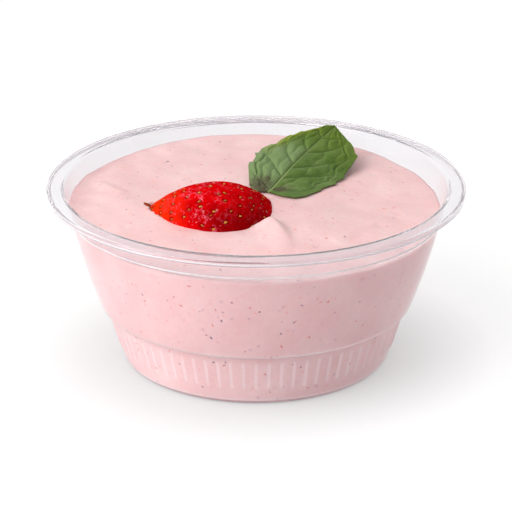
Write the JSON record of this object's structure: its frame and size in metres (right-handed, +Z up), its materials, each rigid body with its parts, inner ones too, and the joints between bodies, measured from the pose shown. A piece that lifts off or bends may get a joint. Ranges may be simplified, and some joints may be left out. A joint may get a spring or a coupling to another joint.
{
  "type": "filled plastic dessert cup",
  "caption": "Round clear plastic dessert cup with a flat rim and a ribbed lower band, filled with strawberry mousse under half a strawberry and a mint leaf.",
  "frame": {"origin": "centre of the cup's foot, on the surface it stands on", "axes": "+Z up along the cup's axis, +Y to the back where the mint leaf's tip points, +X to the right"},
  "size_m": [0.102, 0.102, 0.0476],
  "materials": {
    "clear_plastic": "clear, glossy, thin thermoformed plastic",
    "mousse": "smooth pale pink cream with a soft satin sheen and small berry flecks",
    "strawberry": "wet, glossy red skin with yellow seeds in dimples",
    "mint": "fresh green leaf, satin, with paler veins"
  },
  "bodies": {
    "root": {"cup": "clear_plastic", "mousse": "mousse", "strawberry": "strawberry", "mint_leaf": "mint"}
  },
  "joints": []
}
